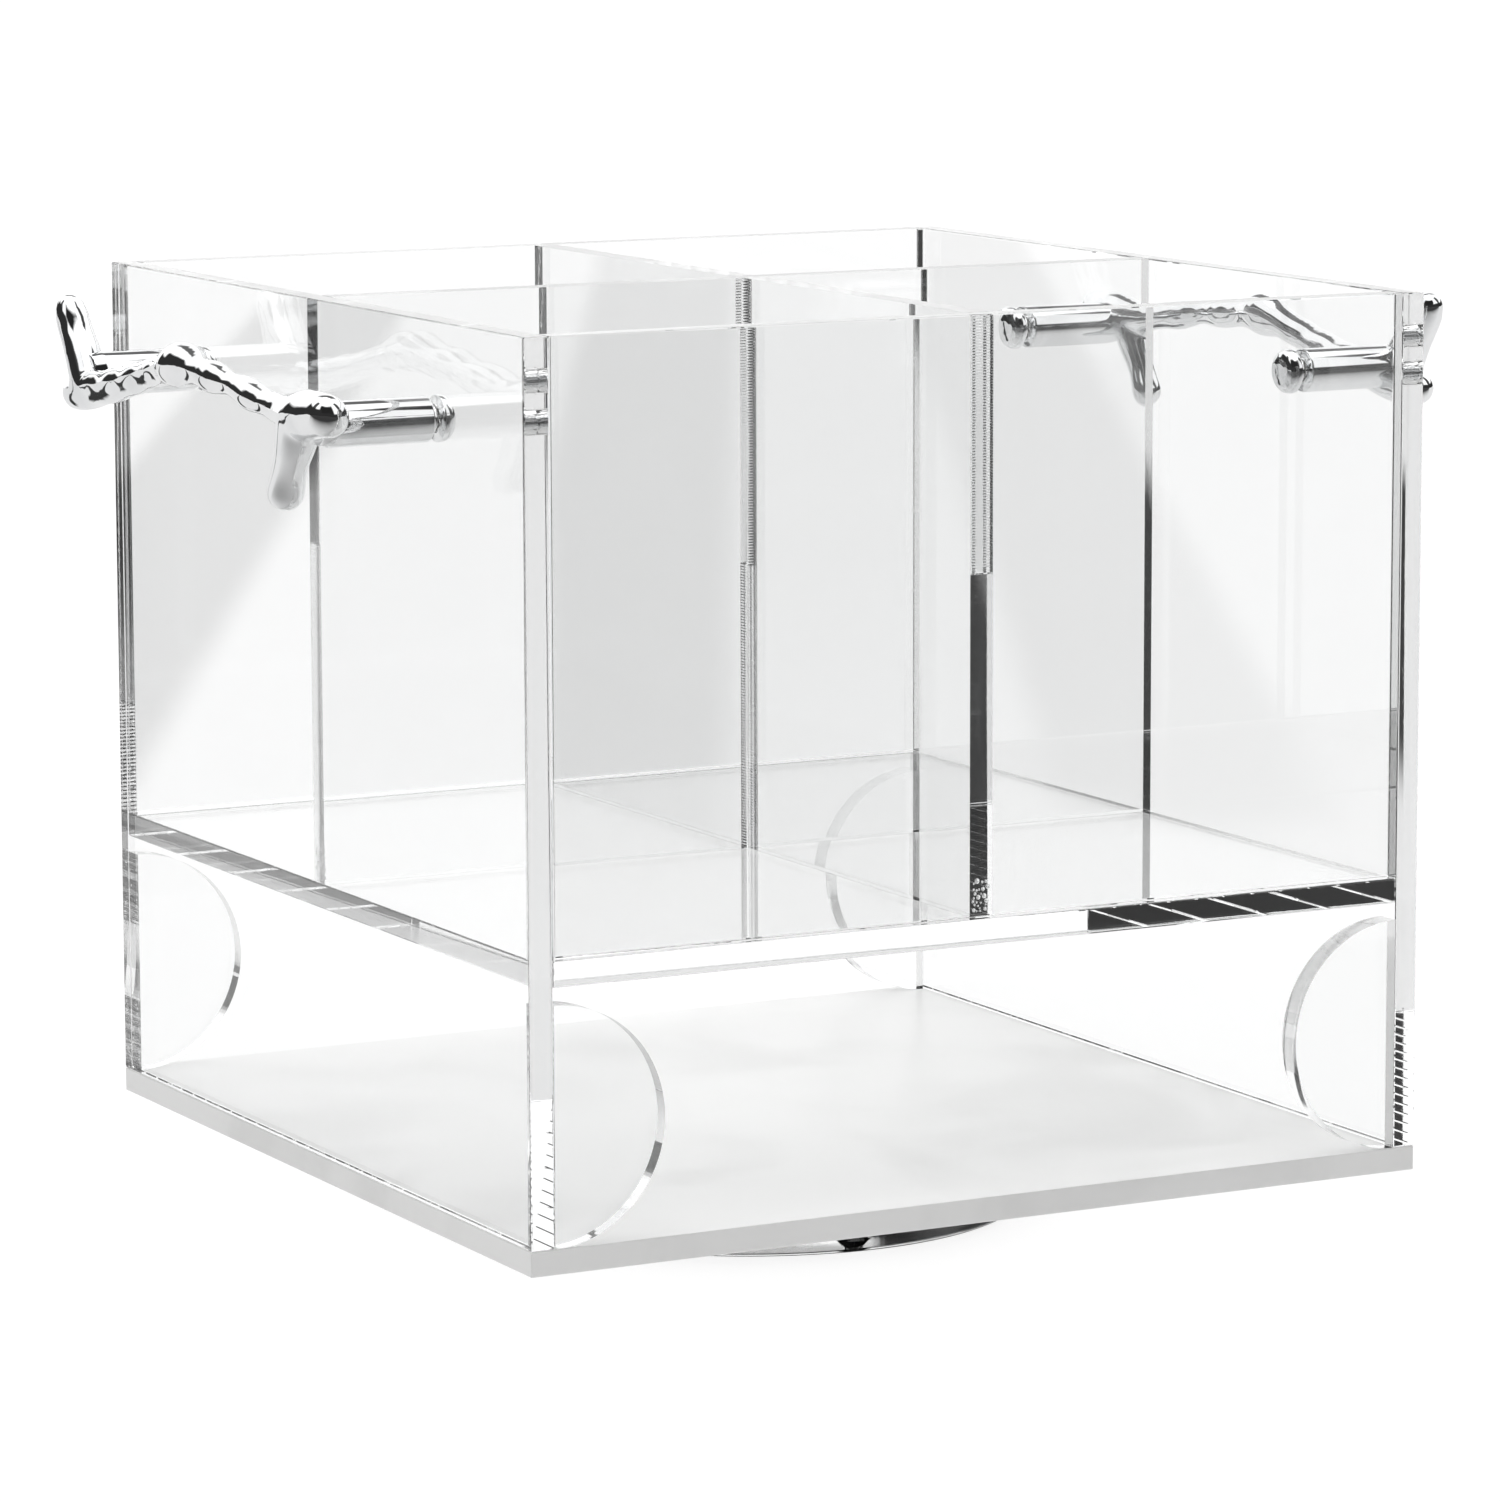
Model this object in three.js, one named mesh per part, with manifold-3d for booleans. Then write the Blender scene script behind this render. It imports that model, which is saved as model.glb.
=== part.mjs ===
// Table caddy for cutlery and folded napkins, made of cemented clear acrylic sheet.
// Four upper compartments and an open napkin bay stand on a white base plate, which turns
// on a ball bearing over a clear round foot disc. Two cast branch-shaped handles are
// screwed through the side panels.
//
// Millimetres, +Z up, -Y is the front. The origin is where the swivel axis meets the table.

import * as THREE from 'three';
import { mergeVertices } from 'three/addons/utils/BufferGeometryUtils.js';
import Module from 'manifold-3d';

const wasm = await Module();
wasm.setup();

// ---------------------------------------------------------------- driving dimensions

// box
const BOX = 178; // outer plan size, square
const SHEET = 4.5; // thickness of every sheet piece
const WALL = 155; // side panels, above the base plate
const BAY = 45; // clear height of the napkin bay
const STOP_RADIUS = 21; // half-disc napkin stops
const LAP_CLEARANCE = 0.15; // each side, where the dividers are halved into each other

// handles: u runs along the panel, v out from its outer face, w up from the screw holes
const SCREW_SPACING = 101.6;
const SCREW_DROP = 17; // hole centres below the rim
const SEAT_GAP = 0.1; // under a screw head and under a handle post
const POST_RADIUS = 4;
const POST_REACH = 22.5; // from the panel to the tip of the post, inside the branch
const TAPPED_RADIUS = 2.25;
const TAPPED_DEPTH = 9;
const SCREW_RADIUS = 2;
const SCREW_LENGTH = 12;
const HEAD_RADIUS = 4.1;
const HEAD_HEIGHT = 2.7;
const RECESS_LENGTH = 4.3;
const RECESS_WIDTH = 0.95;
const RECESS_DEPTH = 1.7;
const PANEL_HOLE_RADIUS = 2.25;

// turntable, from the table up
const PAD_THICKNESS = 1.5;
const PAD_RADIUS = 6;
const PAD_CIRCLE = 38; // radius of the circle of pads
const PAD_COUNT = 4;
const DISC_RADIUS = 50.8;
const DISC_THICKNESS = 6;
const BEARING_HEIGHT = 6.25;
const ADHESIVE = 0.5;

// ball bearing
const PLATE = 0.9; // pressed sheet thickness
const LOWER_PLATE_RADIUS = 38;
const UPPER_PLATE_RADIUS = 35;
const TRACK_RADIUS = 30;
const BALL_RADIUS = 1.985;
const BALL_COUNT = 12;
const BALL_POCKET = 2.3; // radius of the holes in the cage
const TRACK_RIM = 2.2; // from the track's centre to each raised rim
const RIM_HEIGHT = 1.1;
const HUB_RISE = 1.8; // how far each hub is dished towards the other plate
const HUB_RADIUS = 12;
const DISH_RADIUS = 16;
const RIVET_RADIUS = 4;
const RIVET_BORE = 2.8;
const RIVET_FLANGE_RADIUS = 7;
const RUNNING_GAP = 0.35; // radial, between the rivet and what turns on it
const FACE_GAP = 0.2; // under the rivet's flanges
const CAGE_THICKNESS = 1;
const CAGE_HALF_WIDTH = 4;
const WASHER_THICKNESS = 0.4;
const WASHER_RADIUS = 10;

// countersunk screws that hold the lower plate to the disc
const PLATE_SCREW_COUNT = 4;
const PLATE_SCREW_CIRCLE = 35.4;
const PLATE_SCREW_RADIUS = 1.25;
const PLATE_SCREW_HOLE = 1.6;
const PLATE_SCREW_HEAD = 2.5;
const PLATE_SCREW_SUNK = 0.2; // below the disc's underside
const PLATE_SCREW_REACH = 0.8; // past the lower plate
const COUNTERSINK = 2.9; // radius and depth of the 90 degree cone

// ---------------------------------------------------------------- derived heights and places

const DISC_Z = PAD_THICKNESS;
const BEARING_Z = DISC_Z + DISC_THICKNESS;
const BASE_Z = BEARING_Z + BEARING_HEIGHT + ADHESIVE;
const FLOOR_Z = BASE_Z + SHEET; // top of the base plate
const SHELF_Z = FLOOR_Z + BAY + SHEET; // top of the shelf
const RIM_Z = FLOOR_Z + WALL;
const CELL_HEIGHT = RIM_Z - SHELF_Z;
const INSIDE = BOX - 2 * SHEET;
const SCREW_Z = RIM_Z - SCREW_DROP;

// ---------------------------------------------------------------- materials

const clearAcrylic = new THREE.MeshStandardMaterial({
  color: 0xf1f6f6, roughness: 0.03, metalness: 0, transparent: true, opacity: 0.25,
});
const whiteAcrylic = new THREE.MeshStandardMaterial({ color: 0xf6f6f4, roughness: 0.18, metalness: 0 });
const chrome = new THREE.MeshStandardMaterial({ color: 0xd9dbdd, roughness: 0.04, metalness: 1 });
const zincSteel = new THREE.MeshStandardMaterial({ color: 0xb9bdc0, roughness: 0.3, metalness: 1 });
const ballSteel = new THREE.MeshStandardMaterial({ color: 0xcfd2d4, roughness: 0.1, metalness: 1 });
const nylon = new THREE.MeshStandardMaterial({ color: 0xe9e6dc, roughness: 0.5, metalness: 0 });
const foamTape = new THREE.MeshStandardMaterial({ color: 0xdcdcd8, roughness: 0.9, metalness: 0 });
const softPad = new THREE.MeshStandardMaterial({ color: 0xdfe3e3, roughness: 0.4, metalness: 0 });

// ---------------------------------------------------------------- helpers

// A named mesh from a geometry.
function piece(name, geometry, material) {
  const mesh = new THREE.Mesh(geometry, material);
  mesh.name = name;
  return mesh;
}

// A closed three.js geometry as a solid for cutting and joining.
function solid(geometry) {
  const bare = geometry.clone();
  bare.deleteAttribute('normal');
  bare.deleteAttribute('uv');
  const merged = mergeVertices(bare, 1e-4);
  const index = merged.index.array;
  const kept = [];
  for (let i = 0; i < index.length; i += 3) {
    const [a, b, c] = [index[i], index[i + 1], index[i + 2]];
    if (a !== b && b !== c && c !== a) kept.push(a, b, c);
  }
  return new wasm.Manifold(new wasm.Mesh({
    numProp: 3,
    vertProperties: Float32Array.from(merged.attributes.position.array),
    triVerts: Uint32Array.from(kept),
  }));
}

// A cut or joined solid back as a geometry.
function geometryOf(body) {
  const mesh = body.getMesh();
  const geometry = new THREE.BufferGeometry();
  geometry.setAttribute('position', new THREE.BufferAttribute(mesh.vertProperties, 3));
  geometry.setIndex(new THREE.BufferAttribute(mesh.triVerts, 1));
  geometry.computeVertexNormals();
  return geometry;
}

// A solid of revolution about Z from [radius, height] points.
function turned(profile, segments = 32) {
  const points = profile.map(([r, z]) => new THREE.Vector2(r, z));
  return new THREE.LatheGeometry(points, segments).rotateX(Math.PI / 2);
}

// The same ring-shaped profile closed on itself.
function turnedRing(profile, segments = 32) {
  return turned([...profile, profile[0]], segments);
}

// A plain round rod along Z between two heights.
function rod(radius, from, to, segments = 12) {
  return turned([[0, from], [radius, from], [radius, to], [0, to]], segments);
}

// An outline extruded by the sheet thickness, centred on its own middle plane.
function cutSheet(outline, curveSegments = 16) {
  const geometry = new THREE.ExtrudeGeometry(outline, { depth: SHEET, bevelEnabled: false, curveSegments });
  return geometry.translate(0, 0, -SHEET / 2);
}

// Turns for a cut sheet that stands up: its outline's x and y become plan direction and height.
const X_AXIS = new THREE.Vector3(1, 0, 0);
const Y_AXIS = new THREE.Vector3(0, 1, 0);
const Z_AXIS = new THREE.Vector3(0, 0, 1);
const facingX = new THREE.Matrix4().makeBasis(Y_AXIS, Z_AXIS, X_AXIS);
const facingY = new THREE.Matrix4().makeBasis(X_AXIS, Z_AXIS, Y_AXIS.clone().negate());

// Evenly spaced places round the swivel axis.
function* around(count, radius, start = 0) {
  for (let i = 0; i < count; i += 1) {
    const angle = start + (i * 2 * Math.PI) / count;
    yield { number: i + 1, x: radius * Math.cos(angle), y: radius * Math.sin(angle) };
  }
}

// ---------------------------------------------------------------- acrylic box

function sidePanel(name, side) {
  const outline = new THREE.Shape([
    new THREE.Vector2(-BOX / 2, 0), new THREE.Vector2(BOX / 2, 0),
    new THREE.Vector2(BOX / 2, WALL), new THREE.Vector2(-BOX / 2, WALL),
  ]);
  for (const y of [-SCREW_SPACING / 2, SCREW_SPACING / 2]) {
    outline.holes.push(new THREE.Path().absarc(y, WALL - SCREW_DROP, PANEL_HOLE_RADIUS, 0, 2 * Math.PI));
  }
  const panel = piece(name, cutSheet(outline, 10).applyMatrix4(facingX), clearAcrylic);
  panel.position.set(side * (BOX - SHEET) / 2, 0, FLOOR_Z);
  return panel;
}

function endPanel(name, side) {
  const panel = piece(name, new THREE.BoxGeometry(INSIDE, SHEET, CELL_HEIGHT), clearAcrylic);
  panel.position.set(0, side * (BOX - SHEET) / 2, SHELF_Z + CELL_HEIGHT / 2);
  return panel;
}

function shelf() {
  const plate = piece('shelf', new THREE.BoxGeometry(INSIDE, BOX, SHEET), clearAcrylic);
  plate.position.set(0, 0, SHELF_Z - SHEET / 2);
  return plate;
}

// Each divider is slotted for half its height, one from below and one from above.
function divider(name, slotFromTop, turn) {
  const half = INSIDE / 2;
  const slot = SHEET / 2 + LAP_CLEARANCE;
  const lap = slotFromTop ? CELL_HEIGHT / 2 - LAP_CLEARANCE : CELL_HEIGHT / 2 + LAP_CLEARANCE;
  const mouth = slotFromTop ? CELL_HEIGHT : 0;
  const back = CELL_HEIGHT - mouth;
  const outline = new THREE.Shape([
    new THREE.Vector2(-half, back), new THREE.Vector2(-half, mouth), new THREE.Vector2(-slot, mouth),
    new THREE.Vector2(-slot, lap), new THREE.Vector2(slot, lap), new THREE.Vector2(slot, mouth),
    new THREE.Vector2(half, mouth), new THREE.Vector2(half, back),
  ]);
  const sheet = piece(name, cutSheet(outline).applyMatrix4(turn), clearAcrylic);
  sheet.position.z = SHELF_Z;
  return sheet;
}

// A half disc stands on the base plate with its straight edge against the side panel.
function napkinStop(name, sideX, sideY) {
  const outline = new THREE.Shape();
  const start = (sideX * Math.PI) / 2;
  outline.absarc(0, STOP_RADIUS, STOP_RADIUS, start, start + Math.PI);
  const stop = piece(name, cutSheet(outline).applyMatrix4(facingY), clearAcrylic);
  stop.position.set(sideX * INSIDE / 2, sideY * (BOX - SHEET) / 2, FLOOR_Z);
  return stop;
}

function basePlate() {
  const plate = piece('base_plate', new THREE.BoxGeometry(BOX, BOX, SHEET), whiteAcrylic);
  plate.position.z = BASE_Z + SHEET / 2;
  return plate;
}

// ---------------------------------------------------------------- branch handles

// Stations along the wood-like limbs: [u, v, w, radius].
const BRANCH = [
  [-57, 21.5, 2.1, 3.9], [-51, 21.5, 1.8, 4.3], [-46, 21.5, 1.2, 3.9], [-40, 21.6, 1.5, 2.8],
  [-32, 21.9, 2.5, 2.5], [-24, 22, 3.5, 2.6], [-17.5, 22, 4.2, 2.2], [-10, 22, 4.8, 2.6],
  [-2.5, 22, 5.4, 2.6], [4, 21.8, 5.8, 3.9], [10, 21.5, 5, 3.1], [17, 21.2, 3.3, 2.7],
  [26, 20.9, 1.5, 2.8], [37, 20.5, -0.6, 3], [48, 20.1, -2.5, 3.3], [57, 19.9, -4.1, 3.3],
];
const RISING_TWIG = [
  [51, 20.2, -2.2, 3.3], [54, 20.1, 2.2, 3.3], [57, 20, 6.2, 3], [59.4, 20, 9.6, 3.1], [60.4, 20, 11.2, 2.8],
];
const HANGING_TWIG = [
  [-46, 21.5, 0, 3.8], [-43.6, 21.5, -4.6, 3.4], [-41.2, 21.5, -9, 3.1], [-39.2, 21.5, -12.6, 3.1],
];

// Rings that round off the end of a limb or post, as angles up from its last full ring.
const DOME_ANGLES = [0, 32, 65].map((degrees) => THREE.MathUtils.degToRad(degrees));

// A closed limb of varying girth with rounded ends, swept through its stations.
function limb(stations, sides = 10) {
  const path = new THREE.CatmullRomCurve3(stations.map(([u, v, w]) => new THREE.Vector3(u, v, w)));
  const girth = new THREE.CatmullRomCurve3(stations.map(([, , , r]) => new THREE.Vector3(r, 0, 0)));
  const spans = stations.length - 1;
  const rings = [];
  const addRing = (t, along, scale) => {
    const tangent = path.getTangent(t).normalize();
    const radius = girth.getPoint(t).x;
    const centre = path.getPoint(t).addScaledVector(tangent, along * radius);
    const side = tangent.clone().cross(Y_AXIS).normalize();
    const out = side.clone().cross(tangent);
    rings.push({ centre, side, out, radius: radius * scale });
  };
  const domed = DOME_ANGLES.slice(1);
  domed.toReversed().forEach((angle) => addRing(0, -Math.sin(angle), Math.cos(angle)));
  for (let i = 0; i <= spans; i += 1) addRing(i / spans, 0, 1);
  domed.forEach((angle) => addRing(1, Math.sin(angle), Math.cos(angle)));

  const positions = [];
  for (const { centre, side, out, radius } of rings) {
    for (let j = 0; j < sides; j += 1) {
      const angle = (j * 2 * Math.PI) / sides;
      const point = centre.clone()
        .addScaledVector(side, radius * Math.cos(angle))
        .addScaledVector(out, radius * Math.sin(angle));
      positions.push(...point);
    }
  }
  const first = rings.length * sides;
  positions.push(...rings[0].centre, ...rings.at(-1).centre);
  const index = [];
  for (let j = 0; j < sides; j += 1) {
    const next = (j + 1) % sides;
    for (let i = 0; i < rings.length - 1; i += 1) {
      const [a, b] = [i * sides + j, (i + 1) * sides + j];
      const [c, d] = [(i + 1) * sides + next, i * sides + next];
      index.push(a, b, c, a, c, d);
    }
    const last = (rings.length - 1) * sides;
    index.push(first, j, next, first + 1, last + next, last + j);
  }
  const geometry = new THREE.BufferGeometry();
  geometry.setAttribute('position', new THREE.Float32BufferAttribute(positions, 3));
  geometry.setIndex(index);
  return geometry;
}

// Turned along v: a straight post with a domed tip inside the branch.
function post(u) {
  const chamfer = 0.3;
  const profile = [[0, SEAT_GAP], [POST_RADIUS - chamfer, SEAT_GAP], [POST_RADIUS, SEAT_GAP + chamfer]];
  for (const angle of DOME_ANGLES) {
    profile.push([POST_RADIUS * Math.cos(angle), POST_REACH - POST_RADIUS * (1 - Math.sin(angle))]);
  }
  profile.push([0, POST_REACH]);
  return turned(profile, 16).rotateX(-Math.PI / 2).translate(u, 0, 0);
}

function handleGeometry() {
  const holes = [-SCREW_SPACING / 2, SCREW_SPACING / 2];
  let casting = solid(limb(BRANCH)).add(solid(limb(RISING_TWIG))).add(solid(limb(HANGING_TWIG)));
  for (const u of holes) casting = casting.add(solid(post(u)));
  for (const u of holes) {
    const tapped = rod(TAPPED_RADIUS, -1, TAPPED_DEPTH).rotateX(-Math.PI / 2).translate(u, 0, 0);
    casting = casting.subtract(solid(tapped));
  }
  return geometryOf(casting);
}

// A cross recess along Z, sunk by its depth on each side of z = 0.
function crossRecess(length, width, depth) {
  const bar = solid(new THREE.BoxGeometry(length, width, 2 * depth));
  return bar.add(solid(new THREE.BoxGeometry(width, length, 2 * depth)));
}

// Pan head with a cross recess and a plain shank. It is turned along Z, head down, and then
// laid along v with the head's seat at v = 0.
function handleScrewGeometry() {
  const [taperWidth, taperLength] = [0.4, 0.8]; // at the tip
  const [ease, edge] = [0.2, 0.9]; // the head's rounded corner and upright side
  const profile = [
    [0, -HEAD_HEIGHT], [HEAD_RADIUS * 0.6, -HEAD_HEIGHT * 0.92], [HEAD_RADIUS * 0.88, -HEAD_HEIGHT * 0.68],
    [HEAD_RADIUS, -edge], [HEAD_RADIUS, -ease], [HEAD_RADIUS - ease, 0], [SCREW_RADIUS, 0],
    [SCREW_RADIUS, SCREW_LENGTH - taperLength], [SCREW_RADIUS - taperWidth, SCREW_LENGTH], [0, SCREW_LENGTH],
  ];
  const recess = crossRecess(RECESS_LENGTH, RECESS_WIDTH, RECESS_DEPTH).translate([0, 0, -HEAD_HEIGHT]);
  return geometryOf(solid(turned(profile, 16)).subtract(recess)).rotateX(-Math.PI / 2);
}

// The handle's own frame turned onto a side panel: v points away from the box.
function handleSet(side, word) {
  const set = new THREE.Group();
  set.position.set(side * BOX / 2, 0, SCREW_Z);
  set.rotation.z = -side * Math.PI / 2;
  set.add(piece(`branch_handle_${word}`, handleGeometry(), chrome));
  for (const [end, u] of [['front', -SCREW_SPACING / 2], ['back', SCREW_SPACING / 2]]) {
    const near = side < 0 ? end : { front: 'back', back: 'front' }[end];
    const screw = piece(`handle_screw_${word}_${near}`, handleScrewGeometry(), chrome);
    screw.position.set(u, -SHEET - SEAT_GAP, 0);
    set.add(screw);
  }
  return set;
}

// ---------------------------------------------------------------- turntable

// Cuts the same round hole at each plate screw.
function drillPlateScrews(body, radius, from, to) {
  let result = body;
  for (const { x, y } of around(PLATE_SCREW_COUNT, PLATE_SCREW_CIRCLE)) {
    result = result.subtract(solid(rod(radius, from, to).translate(x, y, 0)));
  }
  return result;
}

function turntableDisc() {
  const ease = 0.4;
  const r = DISC_RADIUS;
  const t = DISC_THICKNESS;
  const profile = [[0, 0], [r - ease, 0], [r, ease], [r, t - ease], [r - ease, t], [0, t]];
  let disc = drillPlateScrews(solid(turned(profile, 48)), PLATE_SCREW_HOLE, -1, t + 1);
  for (const { x, y } of around(PLATE_SCREW_COUNT, PLATE_SCREW_CIRCLE)) {
    const cone = turned([[0, -1], [COUNTERSINK + 1, -1], [0, COUNTERSINK]], 12).translate(x, y, 0);
    disc = disc.subtract(solid(cone));
  }
  const mesh = piece('turntable_disc', geometryOf(disc), clearAcrylic);
  mesh.position.z = DISC_Z;
  return mesh;
}

function plateScrew(number, x, y) {
  const tip = DISC_THICKNESS + PLATE + PLATE_SCREW_REACH;
  const r = PLATE_SCREW_RADIUS;
  const face = PLATE_SCREW_SUNK;
  const rim = face + 0.2; // the head's thin upright edge
  const chamfer = 0.3;
  const profile = [[0, face], [PLATE_SCREW_HEAD, face], [PLATE_SCREW_HEAD, rim],
    [r, rim + PLATE_SCREW_HEAD - r], [r, tip - chamfer], [r - chamfer, tip], [0, tip]];
  const screw = solid(turned(profile, 12)).subtract(crossRecess(2.6, 0.6, 1).translate([0, 0, face]));
  const mesh = piece(`plate_screw_${number}`, geometryOf(screw), zincSteel);
  mesh.position.set(x, y, DISC_Z);
  return mesh;
}

function footPad(number, x, y) {
  const ease = 0.3;
  const [r, t] = [PAD_RADIUS, PAD_THICKNESS];
  const profile = [[0, 0], [r - ease, 0], [r, ease], [r, t], [0, t]];
  const mesh = piece(`foot_pad_${number}`, turned(profile, 16), softPad);
  mesh.position.set(x, y, 0);
  return mesh;
}

// Half-section of a race plate lying on its back: hub dished up, track between two raised rims.
function racePlateProfile(outerRadius) {
  const [foot, crest] = [0.4, 0.3]; // half the width of a raised rim, at its foot and along its crest
  const top = PLATE + RIM_HEIGHT;
  const rim = (at) => [[at + foot, PLATE], [at + crest, top], [at - crest, top], [at - foot, PLATE]];
  const bore = RIVET_RADIUS + RUNNING_GAP;
  const slant = 0.4; // keeps the dished part about as thick as the sheet
  return [
    [bore, HUB_RISE], [HUB_RADIUS, HUB_RISE], [DISH_RADIUS, 0], [outerRadius, 0], [outerRadius, PLATE],
    ...rim(TRACK_RADIUS + TRACK_RIM), ...rim(TRACK_RADIUS - TRACK_RIM),
    [DISH_RADIUS + slant, PLATE], [HUB_RADIUS + slant, HUB_RISE + PLATE], [bore, HUB_RISE + PLATE],
  ];
}

function lowerPlate() {
  const plate = solid(turnedRing(racePlateProfile(LOWER_PLATE_RADIUS)));
  const drilled = drillPlateScrews(plate, PLATE_SCREW_HOLE, -1, PLATE + 1);
  const mesh = piece('bearing_lower_plate', geometryOf(drilled), zincSteel);
  mesh.position.z = BEARING_Z;
  return mesh;
}

function upperPlate() {
  const flipped = racePlateProfile(UPPER_PLATE_RADIUS).map(([r, z]) => [r, BEARING_HEIGHT - z]).reverse();
  const mesh = piece('bearing_upper_plate', turnedRing(flipped), zincSteel);
  mesh.position.z = BEARING_Z;
  return mesh;
}

function adhesiveRing() {
  const [inner, outer] = [DISH_RADIUS + 1, UPPER_PLATE_RADIUS - 1];
  const ring = turnedRing([[inner, 0], [outer, 0], [outer, ADHESIVE], [inner, ADHESIVE]]);
  const mesh = piece('adhesive_ring', ring, foamTape);
  mesh.position.z = BEARING_Z + BEARING_HEIGHT;
  return mesh;
}

// A tube through both hubs, flared over at each end.
function rivet() {
  const flange = 0.9;
  const low = HUB_RISE - FACE_GAP;
  const high = BEARING_HEIGHT - low;
  const [bore, barrel, edge] = [RIVET_BORE, RIVET_RADIUS, RIVET_FLANGE_RADIUS];
  const profile = [[bore, low - flange], [edge, low - flange], [edge, low], [barrel, low],
    [barrel, high], [edge, high], [edge, high + flange], [bore, high + flange]];
  const mesh = piece('bearing_rivet', turnedRing(profile, 20), zincSteel);
  mesh.position.z = BEARING_Z;
  return mesh;
}

function hubWasher() {
  const inner = RIVET_RADIUS + RUNNING_GAP;
  const [low, high] = [(BEARING_HEIGHT - WASHER_THICKNESS) / 2, (BEARING_HEIGHT + WASHER_THICKNESS) / 2];
  const ring = turnedRing([[inner, low], [WASHER_RADIUS, low], [WASHER_RADIUS, high], [inner, high]], 20);
  const mesh = piece('hub_washer', ring, nylon);
  mesh.position.z = BEARING_Z;
  return mesh;
}

function ballCage() {
  const [low, high] = [(BEARING_HEIGHT - CAGE_THICKNESS) / 2, (BEARING_HEIGHT + CAGE_THICKNESS) / 2];
  const [inner, outer] = [TRACK_RADIUS - CAGE_HALF_WIDTH, TRACK_RADIUS + CAGE_HALF_WIDTH];
  let cage = solid(turnedRing([[inner, low], [outer, low], [outer, high], [inner, high]]));
  for (const { x, y } of around(BALL_COUNT, TRACK_RADIUS)) {
    cage = cage.subtract(solid(rod(BALL_POCKET, low - 1, high + 1, 10).translate(x, y, 0)));
  }
  const mesh = piece('ball_cage', geometryOf(cage), nylon);
  mesh.position.z = BEARING_Z;
  return mesh;
}

function ball(number, x, y) {
  const name = `bearing_ball_${String(number).padStart(2, '0')}`;
  const mesh = piece(name, new THREE.SphereGeometry(BALL_RADIUS, 10, 6), ballSteel);
  mesh.position.set(x, y, BEARING_Z + BEARING_HEIGHT / 2);
  return mesh;
}

// ---------------------------------------------------------------- assembly

const box = new THREE.Group();
box.add(basePlate(), sidePanel('side_panel_left', -1), sidePanel('side_panel_right', 1));
box.add(shelf(), endPanel('front_panel', -1), endPanel('back_panel', 1));
box.add(divider('divider_front_back', true, facingX), divider('divider_left_right', false, facingY));
for (const [word, sideY] of [['front', -1], ['back', 1]]) {
  box.add(napkinStop(`napkin_stop_${word}_left`, -1, sideY));
  box.add(napkinStop(`napkin_stop_${word}_right`, 1, sideY));
}
box.add(handleSet(-1, 'left'), handleSet(1, 'right'));

const turntable = new THREE.Group();
turntable.add(turntableDisc(), lowerPlate(), upperPlate(), adhesiveRing(), rivet(), hubWasher(), ballCage());
for (const { number, x, y } of around(BALL_COUNT, TRACK_RADIUS)) turntable.add(ball(number, x, y));
for (const { number, x, y } of around(PLATE_SCREW_COUNT, PLATE_SCREW_CIRCLE)) {
  turntable.add(plateScrew(number, x, y));
}
for (const { number, x, y } of around(PAD_COUNT, PAD_CIRCLE, Math.PI / 4)) {
  turntable.add(footPad(number, x, y));
}

const caddy = new THREE.Group();
caddy.add(box, turntable);

export default caddy;
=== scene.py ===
import random
from math import cos, pi, radians, sin, tau

import bmesh
import bpy
from mathutils import Matrix, Vector, noise


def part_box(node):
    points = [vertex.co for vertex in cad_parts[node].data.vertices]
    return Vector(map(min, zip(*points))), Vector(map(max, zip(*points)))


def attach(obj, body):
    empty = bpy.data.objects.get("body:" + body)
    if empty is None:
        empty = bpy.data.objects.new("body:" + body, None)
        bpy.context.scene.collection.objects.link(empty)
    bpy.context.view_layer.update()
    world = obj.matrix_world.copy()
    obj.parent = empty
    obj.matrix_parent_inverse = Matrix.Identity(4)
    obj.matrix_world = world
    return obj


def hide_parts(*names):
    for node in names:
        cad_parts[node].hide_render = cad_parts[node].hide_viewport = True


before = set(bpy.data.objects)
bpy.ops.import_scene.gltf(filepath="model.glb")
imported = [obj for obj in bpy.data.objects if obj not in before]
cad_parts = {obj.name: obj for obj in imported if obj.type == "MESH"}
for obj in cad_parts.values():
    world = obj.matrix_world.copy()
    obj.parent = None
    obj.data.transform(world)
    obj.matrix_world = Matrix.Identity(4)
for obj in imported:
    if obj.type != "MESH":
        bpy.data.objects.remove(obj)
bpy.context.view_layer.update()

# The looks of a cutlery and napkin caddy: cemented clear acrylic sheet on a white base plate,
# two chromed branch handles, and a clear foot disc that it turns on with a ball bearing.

MM = 0.001

# ---------------------------------------------------------------- places taken from the frame

base_low, base_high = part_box("base_plate")
panel_low, panel_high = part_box("side_panel_left")
screw_low, screw_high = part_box("handle_screw_left_front")

HALF = base_high.x  # half the box's plan size
SHEET = base_high.z - base_low.z
INSIDE = HALF - SHEET  # from the middle to a side panel's inner face
SCREW_Z = (screw_low.z + screw_high.z) / 2
SCREW_Y = abs(screw_low.y + screw_high.y) / 2

# ---------------------------------------------------------------- small differences from the plain solids

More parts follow.
